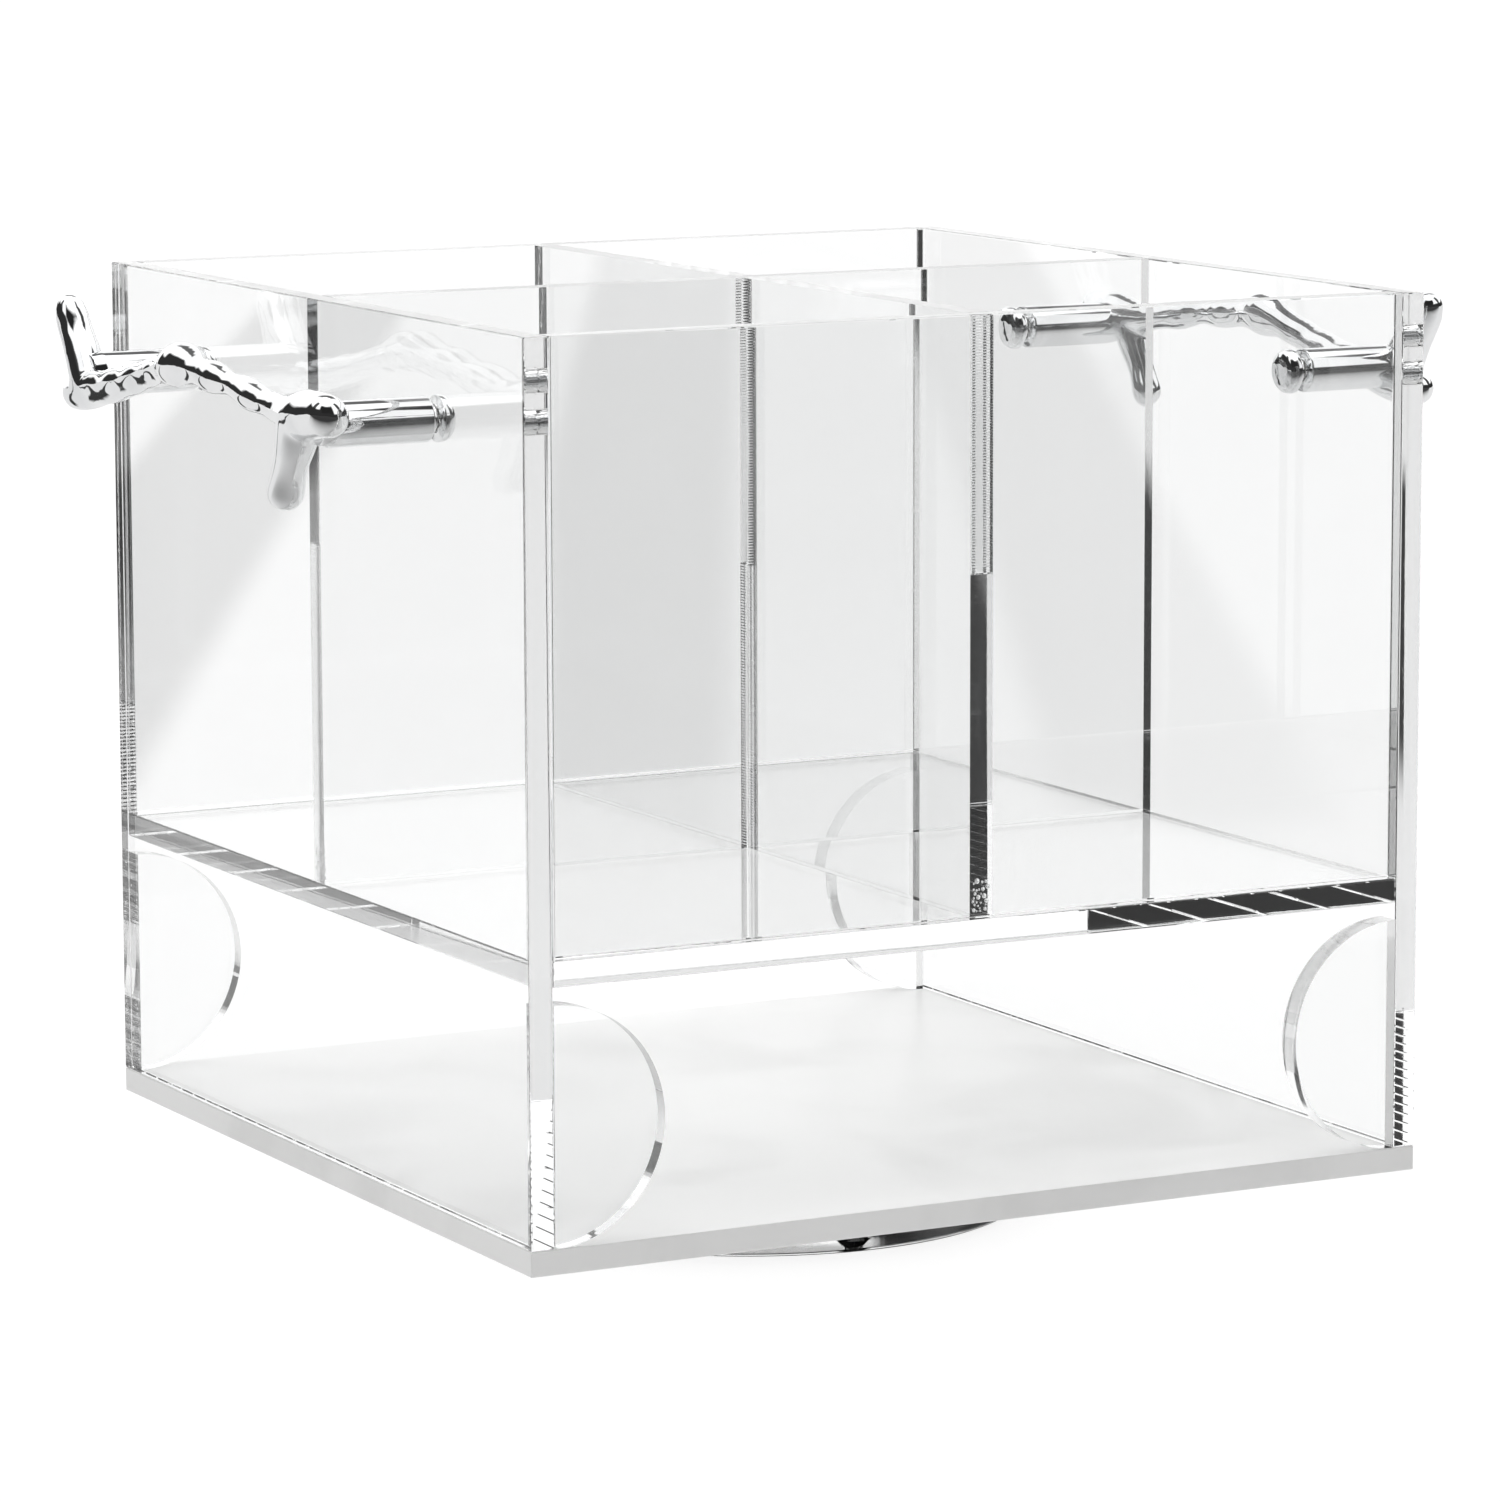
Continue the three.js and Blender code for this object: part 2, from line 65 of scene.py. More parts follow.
JOINT_GAP = 0.035 * MM  # left between cemented faces
POLISH = 0.25 * MM  # width of the eased corner on polished sheet
HOLE_RADIUS = 2.25 * MM
SAW_PITCH = 0.52 * MM  # of the cutter marks on the slot edges
SAW_DEPTH = 0.07 * MM
POINTS_PER_MARK = 4
SLOT_CLEARANCE = 0.15 * MM  # between a divider's slot and the other divider
BUBBLE_DEPTH = 0.4 * MM  # of the trapped air in from a divider's end
BUBBLE_COUNT = 26
BUBBLE_RADII = (0.16, 0.65)  # mm
BUBBLE_SPREAD = 1.5  # mm either way from the middle of the sheet's thickness
BUBBLE_FOOT = 0.9 * MM  # the lowest bubble above the divider's foot
BUBBLE_HEIGHT = 5.5 * MM  # of the patch they fill
BUBBLE_CROWDING = 1.3  # above 1, more of them lie low in the patch
BUBBLE_GAP = 0.04 * MM
BUBBLE_FLATNESS = 0.3
STOP_STEPS = 96  # around a half-disc stop
FLAT_AREA = 3 * MM * MM  # a larger face of a sheet is shaded dead flat


# ---------------------------------------------------------------- node helpers


class Nodes:
    """A node tree with short calls for adding and joining nodes."""

    def __init__(self, tree):
        self.tree = tree

    def add(self, kind, settings=None, **inputs):
        node = self.tree.nodes.new(kind)
        for name, value in (settings or {}).items():
            setattr(node, name, value)
        for name, value in inputs.items():
            self.put(node.inputs[name.replace("_", " ")], value)
        return node

    def put(self, socket, value):
        if isinstance(value, bpy.types.NodeSocket):
            self.tree.links.new(value, socket)
        else:
            socket.default_value = value

    def math(self, operation, a, b=0.0, c=0.0):
        node = self.tree.nodes.new("ShaderNodeMath")
        node.operation = operation
        for socket, value in zip(node.inputs, (a, b, c)):
            self.put(socket, value)
        return node.outputs[0]

    def spread(self, value, low, high, to_low=0.0, to_high=1.0, smooth=True):
        """value carried from one range to another, held at its ends."""
        kind = "SMOOTHSTEP" if smooth else "LINEAR"
        node = self.add("ShaderNodeMapRange", {"interpolation_type": kind})
        for socket, given in zip(node.inputs, (value, low, high, to_low, to_high)):
            self.put(socket, given)
        return node.outputs[0]

    def mix(self, factor, a, b):
        node = self.add("ShaderNodeMix", {"data_type": "RGBA"})
        for index, value in ((0, factor), (6, a), (7, b)):
            self.put(node.inputs[index], value)
        return node.outputs[2]


def shader_group(name, inputs, outputs):
    """A new node group with float inputs {name: default} and outputs {name: socket type}."""
    tree = bpy.data.node_groups.new(name, "ShaderNodeTree")
    for label, default in inputs.items():
        socket = tree.interface.new_socket(label, in_out="INPUT", socket_type="NodeSocketFloat")
        socket.default_value = default
    for label, kind in outputs.items():
        tree.interface.new_socket(label, in_out="OUTPUT", socket_type=kind)
    start = tree.nodes.new("NodeGroupInput")
    end = tree.nodes.new("NodeGroupOutput")
    return tree, Nodes(tree), start.outputs, end.inputs


def use_group(nodes, tree, **inputs):
    node = nodes.tree.nodes.new("ShaderNodeGroup")
    node.node_tree = tree
    for name, value in inputs.items():
        nodes.put(node.inputs[name], value)
    return node.outputs


def make_fine_scratches():
    """Hairline scratches in three directions, from wiping and handling, at about a centimetre long."""
    tree, n, given, out = shader_group(
        "fine_scratches", {"Spacing": 400.0, "Amount": 0.5}, {"Mask": "NodeSocketFloat"})
    place = n.add("ShaderNodeTexCoord").outputs["Object"]
    total = None
    for turn, stretch in ((0.4, 0.035), (1.9, 0.05), (2.8, 0.025)):
        spin = n.add("ShaderNodeMapping", Vector=place)
        spin.inputs["Rotation"].default_value = (turn, turn * 1.7, turn * 0.6)
        spin.inputs["Scale"].default_value = (stretch, 1.0, 1.0)
        grain = n.add("ShaderNodeTexNoise", Vector=spin.outputs[0], Scale=given["Spacing"])
        grain.inputs["Detail"].default_value = 2.0
        line = n.spread(grain.outputs["Fac"], 0.68, 0.74)
        total = line if total is None else n.math("MAXIMUM", total, line)
    broken = n.add("ShaderNodeTexNoise", Vector=place, Scale=28.0)
    kept = n.spread(broken.outputs["Fac"], 0.42, 0.62)
    n.put(out["Mask"], n.math("MULTIPLY", n.math("MULTIPLY", total, kept), given["Amount"]))
    return tree


def make_smudges():
    """Broad soft patches, as wiping leaves on a polished face."""
    tree, n, given, out = shader_group(
        "smudges", {"Scale": 18.0, "Contrast": 0.5}, {"Mask": "NodeSocketFloat"})
    place = n.add("ShaderNodeTexCoord").outputs["Object"]
    cloud = n.add("ShaderNodeTexNoise", Vector=place, Scale=given["Scale"])
    cloud.inputs["Detail"].default_value = 4.0
    cloud.inputs["Roughness"].default_value = 0.55
    cloud.inputs["Distortion"].default_value = 0.6
    low = n.math("SUBTRACT", 0.55, n.math("MULTIPLY", given["Contrast"], 0.2))
    n.put(out["Mask"], n.spread(cloud.outputs["Fac"], low, 0.72))
    return tree


def make_cast_ripple():
    """Slow waves left in a surface by casting or moulding."""
    tree, n, given, out = shader_group(
        "cast_ripple", {"Scale": 40.0, "Fine": 0.3}, {"Height": "NodeSocketFloat"})
    place = n.add("ShaderNodeTexCoord").outputs["Object"]
    slow = n.add("ShaderNodeTexNoise", Vector=place, Scale=given["Scale"])
    slow.inputs["Detail"].default_value = 1.0
    fine_scale = n.math("MULTIPLY", given["Scale"], 6.0)
    fine = n.add("ShaderNodeTexNoise", Vector=place, Scale=fine_scale)
    fine.inputs["Detail"].default_value = 3.0
    n.put(out["Height"], n.math("MULTIPLY_ADD", fine.outputs["Fac"], given["Fine"], slow.outputs["Fac"]))
    return tree


FINE_SCRATCHES = make_fine_scratches()
SMUDGES = make_smudges()
CAST_RIPPLE = make_cast_ripple()

# ---------------------------------------------------------------- materials


def new_material(name):
    """A material with a Principled shader: (material, node calls, the shader, its output node)."""
    material = bpy.data.materials.new(name)
    material.use_nodes = True
    n = Nodes(material.node_tree)
    shader = material.node_tree.nodes["Principled BSDF"]
    output = material.node_tree.nodes["Material Output"]
    return material, n, shader, output


def set_inputs(n, shader, **values):
    for name, value in values.items():
        n.put(shader.inputs[name.replace("_", " ")], value)


def clear_acrylic(name, tint, roughness, ripple, cut_marks=0.0):
    """Clear cast sheet; light passes straight through it to what it would shade."""
    material, n, shader, output = new_material(name)
    scratches = use_group(n, FINE_SCRATCHES, Spacing=700.0, Amount=0.6)["Mask"]
    smudges = use_group(n, SMUDGES, Scale=14.0, Contrast=0.5)["Mask"]
    rough = n.math("MULTIPLY_ADD", smudges, roughness, n.math("MULTIPLY", scratches, 0.06))
    wave = use_group(n, CAST_RIPPLE, Scale=22.0, Fine=0.02 + cut_marks)["Height"]
    bump = n.add("ShaderNodeBump", Height=wave, Strength=ripple)
    bump.inputs["Distance"].default_value = 0.05 * MM
    set_inputs(n, shader, Base_Color=tint, Roughness=rough, IOR=1.49, Transmission_Weight=1.0,
               Normal=bump.outputs[0])
    shade = n.add("ShaderNodeBsdfTransparent", Color=tint)
    shadow = n.add("ShaderNodeLightPath").outputs["Is Shadow Ray"]
    blend = n.add("ShaderNodeMixShader")
    for socket, value in zip(blend.inputs, (shadow, shader.outputs[0], shade.outputs[0])):
        n.put(socket, value)
    n.put(output.inputs["Surface"], blend.outputs[0])
    return material


def white_acrylic(name, dark, light, roughness):
    """White cast sheet; its cut edge is the same plastic, rougher, and given a greyer colour that is
    painted shade.
    """
    material, n, shader, _ = new_material(name)
    scratches = use_group(n, FINE_SCRATCHES, Spacing=520.0, Amount=0.25)["Mask"]
    smudges = use_group(n, SMUDGES, Scale=24.0, Contrast=0.6)["Mask"]
    tone = n.mix(smudges, (*light, 1), (*dark, 1))
    rough = n.math("ADD", n.spread(smudges, 0, 1, roughness, roughness + 0.1),
                   n.math("MULTIPLY", scratches, 0.25))
    wave = use_group(n, CAST_RIPPLE, Scale=30.0, Fine=0.05)["Height"]
    bump = n.add("ShaderNodeBump", Height=wave, Strength=0.05)
    bump.inputs["Distance"].default_value = 0.1 * MM
    set_inputs(n, shader, Base_Color=tone, Roughness=rough, IOR=1.49, Specular_IOR_Level=0.3,
               Normal=bump.outputs[0])
    return material


def plated_metal(name, dark, light, rough_low, rough_high, ripple, grain_scale):
    """Polished or plated metal with handling marks and a faint unevenness."""
    material, n, shader, _ = new_material(name)
    scratches = use_group(n, FINE_SCRATCHES, Spacing=900.0, Amount=1.0)["Mask"]
    smudges = use_group(n, SMUDGES, Scale=60.0, Contrast=0.6)["Mask"]
    tone = n.mix(smudges, (*light, 1), (*dark, 1))
    rough = n.math("ADD", n.spread(smudges, 0, 1, rough_low, rough_high),
                   n.math("MULTIPLY", scratches, 0.1))
    wave = use_group(n, CAST_RIPPLE, Scale=grain_scale, Fine=0.12)["Height"]
    bump = n.add("ShaderNodeBump", Height=wave, Strength=ripple)
    bump.inputs["Distance"].default_value = 0.2 * MM
    set_inputs(n, shader, Base_Color=tone, Metallic=1.0, Roughness=rough, Normal=bump.outputs[0])
    return material


def moulded(name, dark, light, roughness, grain_scale, grain, transmission=0.0):
    """Moulded plastic or rubber with a fine even grain."""
    material, n, shader, _ = new_material(name)
    smudges = use_group(n, SMUDGES, Scale=80.0, Contrast=0.4)["Mask"]
    wave = use_group(n, CAST_RIPPLE, Scale=grain_scale, Fine=0.6)["Height"]
    bump = n.add("ShaderNodeBump", Height=wave, Strength=grain)
    bump.inputs["Distance"].default_value = 0.1 * MM
    set_inputs(n, shader, Base_Color=n.mix(smudges, (*light, 1), (*dark, 1)), IOR=1.5,
               Roughness=n.spread(smudges, 0, 1, roughness, roughness + 0.12),
               Transmission_Weight=transmission, Normal=bump.outputs[0])
    return material


CLEAR = clear_acrylic("clear acrylic", (0.996, 0.998, 0.998, 1), 0.012, 0.1)
CLEAR_EDGE = clear_acrylic("flame-polished acrylic edge", (0.993, 0.996, 0.996, 1), 0.02, 0.3, 0.2)
CLEAR_DISC = clear_acrylic("worn clear acrylic disc", (0.97, 0.975, 0.975, 1), 0.22, 0.2)
WHITE = white_acrylic("white acrylic", (0.95, 0.95, 0.945), (0.975, 0.975, 0.97), 0.34)
# The base plate's sides are greyer than its top: painted shade. Their higher roughness is the sawn finish.
WHITE_EDGE_PAINTED_SHADE = white_acrylic("sawn white acrylic edge with painted shade", (0.7, 0.7, 0.695), (0.78, 0.78, 0.775), 0.5)
CHROME = plated_metal("chrome plate", (0.80, 0.81, 0.82), (0.9, 0.905, 0.91), 0.02, 0.05, 0.08, 160.0)
ZINC = plated_metal("zinc-plated steel", (0.55, 0.56, 0.57), (0.7, 0.71, 0.72), 0.22, 0.38, 0.25, 420.0)
BALL_STEEL = plated_metal("bearing steel", (0.62, 0.63, 0.64), (0.7, 0.71, 0.72), 0.05, 0.1, 0.02, 600.0)
NYLON = moulded("natural nylon", (0.78, 0.76, 0.69), (0.84, 0.82, 0.76), 0.42, 900.0, 0.2)
FOAM = moulded("foam tape", (0.76, 0.76, 0.74), (0.85, 0.85, 0.83), 0.85, 1600.0, 0.9)
SOFT_PAD = moulded("soft vinyl", (0.8, 0.83, 0.83), (0.88, 0.9, 0.9), 0.25, 700.0, 0.15, 0.75)


# ---------------------------------------------------------------- mesh helpers


def face_outwards(bm):
    """Turns the faces of closed solids outwards, going by the sign of the volume they hold."""
    bmesh.ops.recalc_face_normals(bm, faces=bm.faces)
    if bm.calc_volume(signed=True) < 0:
        bmesh.ops.reverse_faces(bm, faces=bm.faces)


def finished(name, bm, material, node, body, sharp=radians(28), edge_material=None,
             flat_over=1.0):
    """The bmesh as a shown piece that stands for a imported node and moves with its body.

    Faces larger than flat_over (square metres), and the broad faces of a sheet, are shaded dead flat.
    """
    face_outwards(bm)
    mesh = bpy.data.meshes.new(name)
    bm.to_mesh(mesh)
    bm.free()
    mesh.materials.append(material)
    if edge_material:
        mesh.materials.append(edge_material)
    mesh.set_sharp_from_angle(angle=sharp)
    for polygon in mesh.polygons:
        broad = edge_material is not None and polygon.material_index == 0
        polygon.use_smooth = polygon.area < flat_over and not broad
    piece = bpy.data.objects.new(name, mesh)
    bpy.context.scene.collection.objects.link(piece)
    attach(piece, body)
    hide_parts(node)
    return piece


def add_rings(bm, rings):
    """Joins rings of points, each a list of the same length, into a closed skin with fanned ends."""
    rows = [[bm.verts.new(point) for point in ring] for ring in rings]
    count = len(rows[0])
    for low, high in zip(rows, rows[1:]):
        for i in range(count):
            j = (i + 1) % count
            bm.faces.new((low[i], low[j], high[j], high[i]))
    for row in (rows[0], rows[-1]):
        middle = bm.verts.new(sum((v.co for v in row), Vector()) / count)
        for i in range(count):
            bm.faces.new((row[i], row[(i + 1) % count], middle))


def eased_corner(before, here, after, radius, steps):
    """Points along an arc that takes the place of the corner at here."""
    before, here, after = Vector(before), Vector(here), Vector(after)
    to_before, to_after = before - here, after - here
    cut = min(radius, to_before.length * 0.45, to_after.length * 0.45)
    start = here + to_before.normalized() * cut
    end = here + to_after.normalized() * cut
    fractions = [k / steps for k in range(steps + 1)]
    return [start.lerp(here, t).lerp(here.lerp(end, t), t) for t in fractions]


def rounded_profile(points, radius, steps=3):
    """A closed outline of [radius, height] points with every corner eased by an arc."""
    eased = []
    count = len(points)
    for i in range(count):
        eased += eased_corner(points[i - 1], points[i], points[(i + 1) % count], radius, steps)
    return eased


def rounded_open_profile(points, radius, steps=3):
    """As rounded_profile for an outline that ends on the axis, whose two ends stay sharp."""
    eased = [Vector(points[0])]
    for before, here, after in zip(points, points[1:], points[2:]):
        eased += eased_corner(before, here, after, radius, steps)
    eased.append(Vector(points[-1]))
    return eased


def add_turned_ring(bm, profile, segments=96):
    """A ring-shaped body of revolution about Z from a closed [radius, height] outline."""
    rows = []
    for i in range(segments):
        a = tau * i / segments
        rows.append([bm.verts.new((r * cos(a), r * sin(a), z)) for r, z in profile])
    count = len(profile)
    for i in range(segments):
        one, two = rows[i], rows[(i + 1) % segments]
        for j in range(count):
            k = (j + 1) % count
            bm.faces.new((one[j], two[j], two[k], one[k]))


def add_turned_solid(bm, profile, segments):
    """A body of revolution about Z, from an outline that starts and ends on the axis."""
    rings = [[(r * cos(tau * i / segments), r * sin(tau * i / segments), z) for i in range(segments)]
             for r, z in profile]
    add_rings(bm, rings)


def settle(piece, *modifiers):
    """Applies modifiers, each a type and its settings, to a piece's own mesh."""
    for kind, settings in modifiers:
        modifier = piece.modifiers.new(kind.lower(), kind)
        for name, value in settings.items():
            setattr(modifier, name, value)
    graph = bpy.context.evaluated_depsgraph_get()
    mesh = bpy.data.meshes.new_from_object(piece.evaluated_get(graph))
    piece.modifiers.clear()
    old = piece.data
    piece.data = mesh
    bpy.data.meshes.remove(old)


def used_up(thing):
    """The mesh of a loose object as a bmesh; the object is removed."""
    bm = bmesh.new()
    bm.from_mesh(thing.data)
    bpy.data.objects.remove(thing)
    return bm


def loose_object(name, bm):
    """A bmesh as an object that is used up by a later step."""
    face_outwards(bm)
    mesh = bpy.data.meshes.new(name)
    bm.to_mesh(mesh)
    bm.free()
    thing = bpy.data.objects.new(name, mesh)
    bpy.context.scene.collection.objects.link(thing)
    return thing


def absorb(piece, other, operation):
    """Joins another object's solid to a piece, or cuts it away, and removes the other object."""
    settle(piece, ("BOOLEAN", {"operation": operation, "object": other, "solver": "EXACT"}))
    bpy.data.objects.remove(other)


# ---------------------------------------------------------------- acrylic sheets

X_AXIS, Y_AXIS, Z_AXIS = range(3)


def place_on(axis, low, high):
    """A function from a sheet's own (across, up, depth) to the frame, for a sheet facing an axis."""
    middle = (low[axis] + high[axis]) / 2
    order = {
        X_AXIS: lambda a, u, d: (middle + d, a, u),
        Y_AXIS: lambda a, u, d: (a, middle + d, u),
        Z_AXIS: lambda a, u, d: (a, u, middle + d),
    }
    return order[axis]


def sheet(node, axis, loops, material=None):
    """A cut sheet with eased, polished corners. Loops are closed outlines; the first is the outside."""
    low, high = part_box(node)
    to_frame = place_on(axis, low, high)
    thick = (high[axis] - low[axis]) / 2
    bm = bmesh.new()
    for loop in loops:
        verts = [bm.verts.new((a, u, -thick)) for a, u in loop]
        for one, two in zip(verts, verts[1:] + verts[:1]):
            bm.edges.new((one, two))
    bmesh.ops.triangle_fill(bm, use_beauty=True, edges=bm.edges)
    raised = bmesh.ops.extrude_face_region(bm, geom=bm.faces)["geom"]
    top = [v for v in raised if isinstance(v, bmesh.types.BMVert)]
    bmesh.ops.translate(bm, verts=top, vec=(0, 0, 2 * thick))
    bmesh.ops.recalc_face_normals(bm, faces=bm.faces)
    corners = [e for e in bm.edges if len(e.link_faces) == 2 and e.calc_face_angle() > radians(40)]
    bmesh.ops.bevel(bm, geom=corners, offset=POLISH, segments=2, profile=0.5, affect="EDGES",
                    clamp_overlap=True)
    for face in bm.faces:
        face.material_index = int(abs(face.normal.z) < 0.5)
    for v in bm.verts:
        v.co = Vector(to_frame(*v.co))
    return finished(f"{node}_sheet", bm, material or CLEAR, node, "caddy",
                    edge_material=WHITE_EDGE_PAINTED_SHADE if material else CLEAR_EDGE, flat_over=FLAT_AREA)


def rectangle(low_a, low_u, high_a, high_u):
    return [(low_a, low_u), (high_a, low_u), (high_a, high_u), (low_a, high_u)]


def circle(centre_a, centre_u, radius, steps=64):
    return [(centre_a + radius * cos(tau * i / steps), centre_u + radius * sin(tau * i / steps))
            for i in range(steps)]


def side_panel(node):
    """A full-height panel with two clearance holes for the handle's screws."""
    outline = rectangle(panel_low.y, panel_low.z + JOINT_GAP, panel_high.y, panel_high.z)
    holes = [circle(y, SCREW_Z, HOLE_RADIUS) for y in (-SCREW_Y, SCREW_Y)]
    sheet(node, X_AXIS, [outline, *holes])


def end_panel(node):
    low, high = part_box(node)
    outline = rectangle(low.x + JOINT_GAP, low.z + JOINT_GAP, high.x - JOINT_GAP, high.z)
    sheet(node, Y_AXIS, [outline])


def shelf():
    low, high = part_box("shelf")
    outline = rectangle(low.x + JOINT_GAP, low.y, high.x - JOINT_GAP, high.y)
    sheet("shelf", Z_AXIS, [outline])


def saw_cut(along_from, along_to, across, depth_sign):
    """Points down a slot's edge, with the cutter's marks as small waves."""
    steps = max(2, round(abs(along_to - along_from) / (SAW_PITCH / POINTS_PER_MARK)))
    points = []
    for i in range(steps + 1):
        u = along_from + (along_to - along_from) * i / steps
        mark = 0.5 + 0.5 * cos(tau * u / SAW_PITCH)
        points.append((across + depth_sign * SAW_DEPTH * mark, u))
    return points


def add_trapped_air(piece, to_frame, foot):
    """Flat air bubbles left in the cement at the foot of a divider's front or left end, as cavities."""
    bm = bmesh.new()
    bm.from_mesh(piece.data)
    draw = random.Random(7)
    end = BUBBLE_DEPTH - INSIDE
    placed = []
    while len(placed) < BUBBLE_COUNT:
        radius = draw.uniform(*BUBBLE_RADII) * MM
        across = draw.uniform(-BUBBLE_SPREAD, BUBBLE_SPREAD) * MM
        up = foot + BUBBLE_FOOT + draw.uniform(0, 1) ** BUBBLE_CROWDING * BUBBLE_HEIGHT
        centre = Vector(to_frame(end, up, across))
        if any((centre - other).length < radius + reach + BUBBLE_GAP for other, reach in placed):
            continue
        placed.append((centre, radius))
        made = bmesh.ops.create_icosphere(bm, subdivisions=2, radius=radius)
        for v in made["verts"]:
            along = end + v.co.x * BUBBLE_FLATNESS
            v.co = Vector(to_frame(along, up + v.co.y, across + v.co.z))
        skin = list({face for v in made["verts"] for face in v.link_faces})
        bmesh.ops.recalc_face_normals(bm, faces=skin)
        bmesh.ops.reverse_faces(bm, faces=skin)
        for face in skin:
            face.smooth = True
            face.material_index = 1
    bm.to_mesh(piece.data)
    bm.free()


def divider(node, axis, slot_from_top):
    """One of the two cross-halved dividers, slotted to half its height."""
    low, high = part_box(node)
    half = INSIDE - JOINT_GAP
    bottom, top = low.z + JOINT_GAP, high.z
    slot = SHEET / 2 + SLOT_CLEARANCE
    middle = (low.z + high.z) / 2
    mouth, back = (top, bottom) if slot_from_top else (bottom, top)
    lap = middle + (-SLOT_CLEARANCE if slot_from_top else SLOT_CLEARANCE)
    loop = [(-half, back), (-half, mouth)]
    loop += saw_cut(mouth, lap, -slot, 1)
    loop += saw_cut(lap, mouth, slot, -1)
    loop += [(half, mouth), (half, back)]
    piece = sheet(node, axis, [loop])
    add_trapped_air(piece, place_on(axis, low, high), low.z)


def napkin_stop(node):
    """A half disc cemented by its straight side to a side panel."""
    low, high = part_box(node)
    radius = (high.z - low.z) / 2
    side = 1 if low.x + high.x > 0 else -1
    straight = high.x - JOINT_GAP if side > 0 else low.x + JOINT_GAP
    middle = (low.z + high.z) / 2
    arc = []
    for i in range(STOP_STEPS + 1):
        a = -pi / 2 + pi * i / STOP_STEPS
        arc.append((straight - side * radius * cos(a), middle + (radius - JOINT_GAP) * sin(a)))
    sheet(node, Y_AXIS, [arc])


def base_plate():
    outline = rectangle(base_low.x, base_low.y, base_high.x, base_high.y)
    sheet("base_plate", Z_AXIS, [outline], material=WHITE)


# ---------------------------------------------------------------- handles

# Stations along the limbs in mm: along the panel, out from it, up from the screws, and the limb's radius.
BRANCH = [
    (-57, 21.5, 2.1, 3.9), (-51, 21.5, 1.8, 4.3), (-46, 21.5, 1.2, 3.9), (-40, 21.6, 1.5, 2.8),
    (-32, 21.9, 2.5, 2.5), (-24, 22, 3.5, 2.6), (-17.5, 22, 4.2, 2.2), (-10, 22, 4.8, 2.6),
    (-2.5, 22, 5.4, 2.6), (4, 21.8, 5.8, 3.9), (10, 21.5, 5, 3.1), (17, 21.2, 3.3, 2.7),
    (26, 20.9, 1.5, 2.8), (37, 20.5, -0.6, 3), (48, 20.1, -2.5, 3.3), (57, 19.9, -4.1, 3.3),
]
RISING_TWIG = [
    (51, 20.2, -2.2, 3.3), (54, 20.1, 2.2, 3.3), (57, 20, 6.2, 3), (59.4, 20, 9.6, 3.1),
    (60.4, 20, 11.2, 2.8),
]
HANGING_TWIG = [
    (-46, 21.5, 0, 3.8), (-43.6, 21.5, -4.6, 3.4), (-41.2, 21.5, -9, 3.1), (-39.2, 21.5, -12.6, 3.1),
]
LIMB_SIDES = 28
RINGS_PER_STATION = 7
DOME_ANGLES = [radians(degrees) for degrees in (78, 60, 42, 24, 10)]  # of the rings that close an end
SINEW = 0.03  # how far the ridges stand out, as a share of the radius
CASTING_VOXEL = 0.4  # mm
SMOOTHING = {"factor": 0.5, "iterations": 24}
SKIN_OUT = 0.1  # mm given back all over after the smoothing
LUMP_HEIGHT = 0.5  # mm
LUMPS_PER_MM = 0.13
POST_RADIUS = 4 * MM
POST_REACH = 20.5 * MM
POST_SIDES = 72
TAPPED_RADIUS = 1.95 * MM
TAPPED_DEPTH = 9 * MM
SEAT_GAP = 0.1 * MM  # between a post's foot, or a screw's head, and the panel


def through(points, t):
    """A smooth curve through points, at t from 0 to 1."""
    spans = len(points) - 1
    i = min(int(t * spans), spans - 1)
    f = t * spans - i
    p = [Vector(points[max(0, min(spans, i + k))]) for k in (-1, 0, 1, 2)]
    return 0.5 * (2 * p[1] + f * (p[2] - p[0]) + f * f * (2 * p[0] - 5 * p[1] + 4 * p[2] - p[3])
                  + f ** 3 * (3 * p[1] - p[0] - 3 * p[2] + p[3]))


def add_limb(bm, stations, seed):
    """A limb swept through its stations, with sinewy ridges and domed ends. Millimetres."""
    steps = (len(stations) - 1) * RINGS_PER_STATION
    places = [station[:3] for station in stations]
    radii = [(station[3], 0, 0) for station in stations]
    rings = []

    def ring(t, along, scale):
        here = through(places, t)
        ahead = through(places, min(t + 0.01, 1)) - through(places, max(t - 0.01, 0))
        tangent = ahead.normalized()
        radius = through(radii, t).x
        side = tangent.cross(Vector((0, 1, 0))).normalized()
        out = side.cross(tangent)
        centre = here + tangent * along * radius
        points = []
        for j in range(LIMB_SIDES):
            a = tau * j / LIMB_SIDES
            sinew = SINEW * sin(2 * a + 0.9 * t * len(stations) + seed)
            reach = radius * scale * (1 + sinew)
            points.append(centre + side * reach * cos(a) + out * reach * sin(a))
        rings.append(points)

    for a in DOME_ANGLES:
        ring(0, -sin(a), cos(a))
    for i in range(steps + 1):
        ring(i / steps, 0, 1)
    for a in reversed(DOME_ANGLES):
        ring(1, sin(a), cos(a))
    add_rings(bm, rings)


def handle_place(side):
    """From the handle's own axes in mm (along the panel, out from it, up from the screws) to the frame."""
    return Matrix((
        (0, side * MM, 0, side * HALF),
        (-side * MM, 0, 0, 0),
        (0, 0, MM, SCREW_Z),
        (0, 0, 0, 1),
    ))


